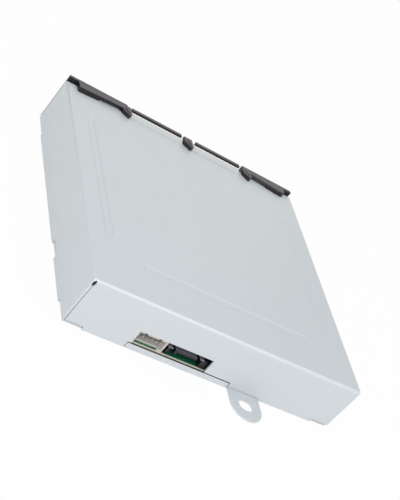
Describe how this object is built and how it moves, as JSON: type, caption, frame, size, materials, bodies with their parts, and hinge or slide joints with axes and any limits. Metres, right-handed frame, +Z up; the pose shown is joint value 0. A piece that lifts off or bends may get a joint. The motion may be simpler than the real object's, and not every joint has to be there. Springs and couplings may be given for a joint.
{
  "type": "console blu-ray drive",
  "caption": "Flat slot-loading disc drive in a folded steel case with a dark plastic disc slot, rear power and signal sockets and a slotted fixing ear.",
  "frame": {"origin": "centre of the underside of the metal case", "axes": "+Z up through the top cover, -Y out of the disc slot, +Y out of the rear sockets, +X towards the power socket's side"},
  "size_m": [0.13, 0.1484, 0.0249],
  "materials": {
    "painted_steel": "satin light grey coating on folded sheet steel",
    "bezel_plastic": "fine grained dark warm grey",
    "felt": "short black felt",
    "black_plastic": "matt black moulding",
    "bright_steel": "zinc coated pressed sheet",
    "shaft_steel": "ground steel",
    "rubber": "matt black rubber",
    "gear_plastic": "natural acetal",
    "motor_can": "drawn can",
    "brass": "plated contacts and worm",
    "sled_alloy": "die cast",
    "lens_plastic": "black liquid crystal polymer",
    "lens_glass": "coated lens",
    "copper_stator": "wound copper on laminated iron",
    "board_green": "green solder mask on glass fibre board",
    "ivory_plastic": "ivory nylon",
    "chip_black": "moulded epoxy",
    "flex_film": "amber polyimide film"
  },
  "bodies": {
    "casing": {"top_cover": "painted_steel", "bottom_pan": "painted_steel", "front_bezel": "bezel_plastic", "lower_dust_seal": "felt", "upper_dust_seal": "felt", "loader_frame": "black_plastic", "upper_disc_guide": "black_plastic", "clamp_bridge": "bright_steel", "bridge_screws": "shaft_steel", "bracket_pivot_pin": "shaft_steel", "bracket_spring": "shaft_steel", "wheel_shaft": "shaft_steel", "loading_motor": "motor_can", "trigger_spring": "shaft_steel", "logic_board": "board_green", "board_spacers": "gear_plastic", "board_screws": "shaft_steel", "sata_header": "black_plastic", "sata_contacts": "brass", "power_header": "ivory_plastic", "power_pins": "brass", "controller_chip": "chip_black", "driver_chips": "chip_black", "memory_chip": "chip_black", "flex_sockets": "ivory_plastic", "board_capacitors": "motor_can", "motor_flex": "flex_film"},
    "bracket": {"roller_bracket": "bright_steel"},
    "feed_roller": {"roller_shaft": "shaft_steel", "roller_sleeves": "rubber", "roller_gear": "gear_plastic"},
    "idler": {"idler_gear": "gear_plastic"},
    "transfer": {"transfer_gear": "gear_plastic"},
    "wheel": {"worm_wheel": "gear_plastic"},
    "worm": {"motor_worm": "brass"},
    "right_slider": {"right_cam_slider": "bright_steel"},
    "left_slider": {"left_cam_slider": "bright_steel"},
    "lever": {"sync_lever": "bright_steel"},
    "trigger": {"trigger_lever": "gear_plastic"},
    "traverse": {"lift_frame": "black_plastic", "damper_grommets": "rubber", "traverse_deck": "bright_steel", "guide_rods": "shaft_steel", "rod_clips": "black_plastic", "sled_motor": "motor_can", "screw_bearing": "gear_plastic", "spindle_stator": "copper_stator"},
    "spindle": {"spindle_rotor": "shaft_steel", "turntable": "black_plastic", "turntable_pad": "rubber", "centring_hub": "black_plastic"},
    "screw": {"lead_screw": "shaft_steel"},
    "pickup": {"pickup_sled": "sled_alloy", "pickup_cover": "bright_steel", "rack_nut": "gear_plastic"},
    "lens": {"lens_holder": "lens_plastic", "objective_lenses": "lens_glass"},
    "clamp": {"disc_clamp": "black_plastic"}
  },
  "joints": [
    {"name": "cam_slide", "type": "slide", "parent": "casing", "child": "right_slider", "axis": [0, -1, 0], "range_m": [0, 0.012]},
    {"name": "left_slide", "type": "slide", "parent": "casing", "child": "left_slider", "axis": [0, 1, 0], "range_m": [0, 0.012]},
    {"name": "sync_turn", "type": "hinge", "parent": "casing", "child": "lever", "pos_m": [0, -0.05, 0.0019], "axis": [0, 0, -1], "range_deg": [0, 11.81]},
    {"name": "trigger_turn", "type": "hinge", "parent": "casing", "child": "trigger", "pos_m": [0.054, 0.054, 0.0134], "axis": [0, 0, -1], "range_deg": [0, 18]},
    {"name": "bracket_swing", "type": "hinge", "parent": "casing", "child": "bracket", "pos_m": [0, -0.0461, 0.0112], "axis": [1, 0, 0], "range_deg": [0, 16.38]},
    {"name": "traverse_lift", "type": "hinge", "parent": "casing", "child": "traverse", "pos_m": [0, 0.054, 0.008], "axis": [-1, 0, 0], "range_deg": [0, 4.41]},
    {"name": "roller_spin", "type": "hinge", "parent": "bracket", "child": "feed_roller", "pos_m": [0, -0.06, 0.0132], "axis": [1, 0, 0], "continuous": true},
    {"name": "idler_spin", "type": "hinge", "parent": "casing", "child": "idler", "pos_m": [0.0606, -0.05929, 0.01815], "axis": [1, 0, 0], "continuous": true},
    {"name": "transfer_spin", "type": "hinge", "parent": "casing", "child": "transfer", "pos_m": [0.06185, -0.0523, 0.01541], "axis": [1, 0, 0], "continuous": true},
    {"name": "wheel_spin", "type": "hinge", "parent": "casing", "child": "wheel", "pos_m": [0.0515, -0.0461, 0.0112], "axis": [1, 0, 0], "continuous": true},
    {"name": "worm_spin", "type": "hinge", "parent": "casing", "child": "worm", "pos_m": [0.053, -0.0461, 0.00516], "axis": [0, 1, 0], "continuous": true},
    {"name": "spindle_spin", "type": "hinge", "parent": "traverse", "child": "spindle", "pos_m": [0, 0.00169, 0.00998], "axis": [0, -0.0769, 0.997], "continuous": true},
    {"name": "clamp_spin", "type": "hinge", "parent": "casing", "child": "clamp", "pos_m": [0, 0.002, 0.0202], "axis": [0, 0, 1], "continuous": true},
    {"name": "sled_slide", "type": "slide", "parent": "traverse", "child": "pickup", "axis": [-0.7071, 0.705, 0.0544], "range_m": [0, 0.0333]},
    {"name": "screw_spin", "type": "hinge", "parent": "traverse", "child": "screw", "pos_m": [-0.03012, 0.00001, 0.00785], "axis": [-0.7071, 0.705, 0.0544], "continuous": true},
    {"name": "lens_focus", "type": "slide", "parent": "pickup", "child": "lens", "axis": [0, -0.0769, 0.997], "range_m": [-0.0004, 0.0004], "stiffness_N_per_m": 60}
  ],
  "couplings": [
    {"joint": "left_slide", "follows": "cam_slide", "ratio": 1},
    {"joint": "sync_turn", "follows": "cam_slide", "rad_per_m": 17.18},
    {"joint": "trigger_turn", "follows": "cam_slide", "rad_per_m": 26.18},
    {"joint": "bracket_swing", "follows": "cam_slide", "rad_per_m": 23.817},
    {"joint": "traverse_lift", "follows": "cam_slide", "rad_per_m": 6.4166},
    {"joint": "idler_spin", "follows": "roller_spin", "ratio": -1},
    {"joint": "transfer_spin", "follows": "roller_spin", "ratio": 0.5},
    {"joint": "wheel_spin", "follows": "roller_spin", "ratio": -1},
    {"joint": "worm_spin", "follows": "roller_spin", "ratio": 18},
    {"joint": "clamp_spin", "follows": "spindle_spin", "ratio": 1},
    {"joint": "screw_spin", "follows": "sled_slide", "rad_per_m": 2094.4}
  ]
}
